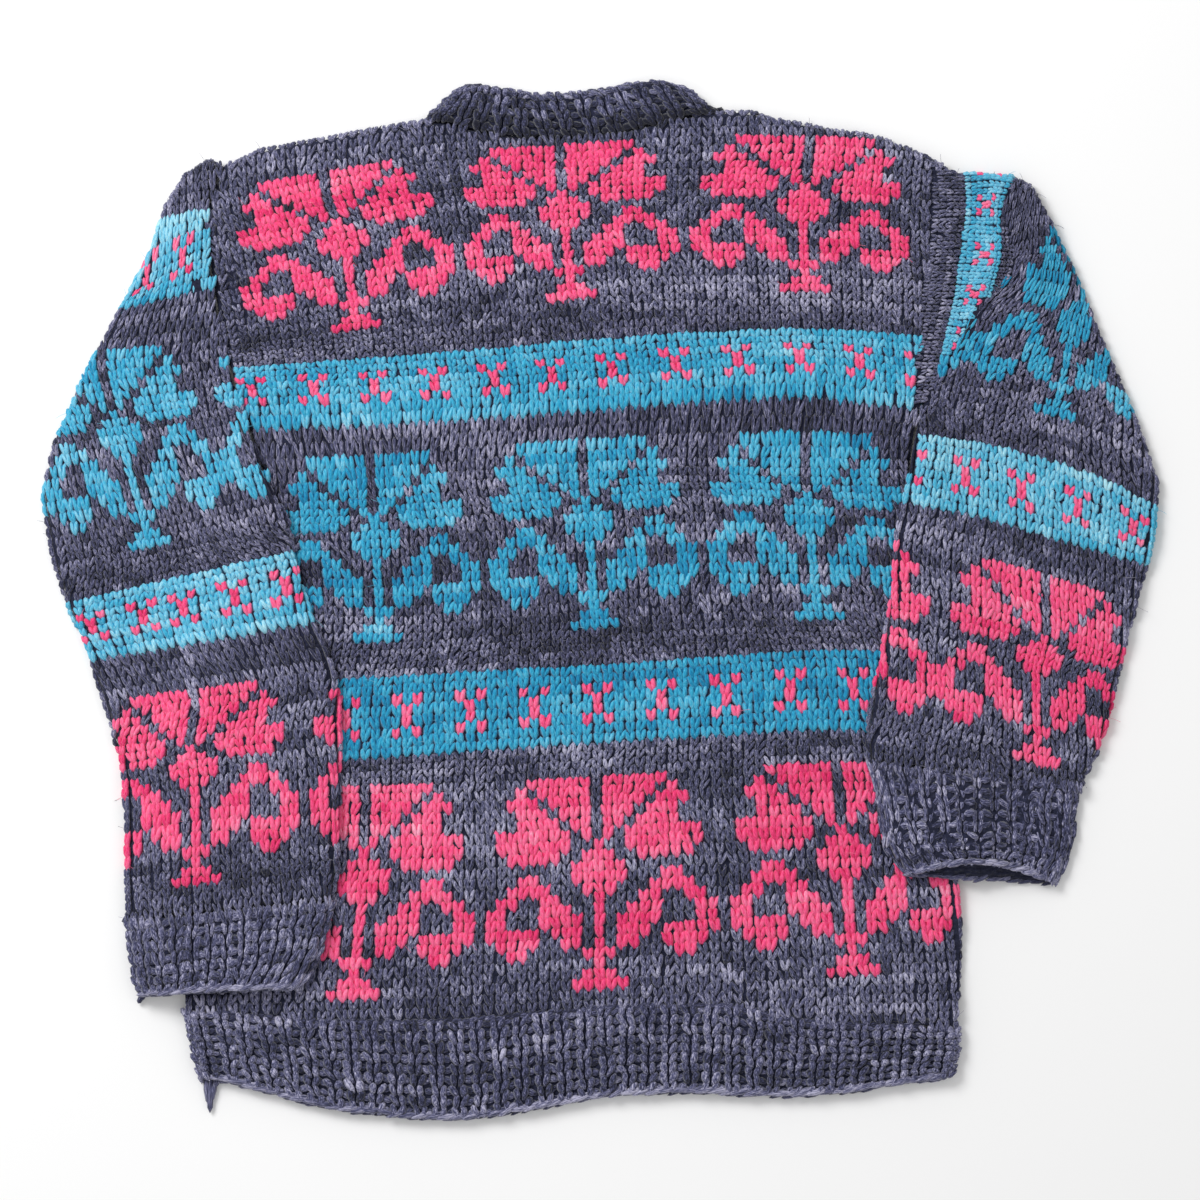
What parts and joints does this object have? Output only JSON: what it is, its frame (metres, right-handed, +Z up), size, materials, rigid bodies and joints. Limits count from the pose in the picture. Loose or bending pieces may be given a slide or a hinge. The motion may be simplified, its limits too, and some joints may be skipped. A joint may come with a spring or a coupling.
{
  "type": "fair isle sweater",
  "caption": "Hand-knitted crew-neck pullover laid flat, back up, with flower rows, motif bands and ribbed neck, cuffs and hem.",
  "frame": {"origin": "centre of the flat garment's bounding rectangle, on the surface it lies on", "axes": "+X towards the wearer's right sleeve as seen from above with the back up, +Y towards the neck, +Z up"},
  "size_m": [0.8, 0.7463, 0.0221],
  "materials": {
    "navy_wool": "matt, hairy, heathered hand-knit wool",
    "pink_wool": "matt, hairy hand-knit wool",
    "turquoise_wool": "matt, hairy hand-knit wool"
  },
  "bodies": {
    "root": {"front": "navy_wool", "back": "navy_wool", "hem_front": "navy_wool", "hem_back": "navy_wool", "neckband": "navy_wool", "sleeve_left": "navy_wool", "sleeve_right": "navy_wool", "cuff_left": "navy_wool", "cuff_right": "navy_wool"}
  },
  "joints": []
}
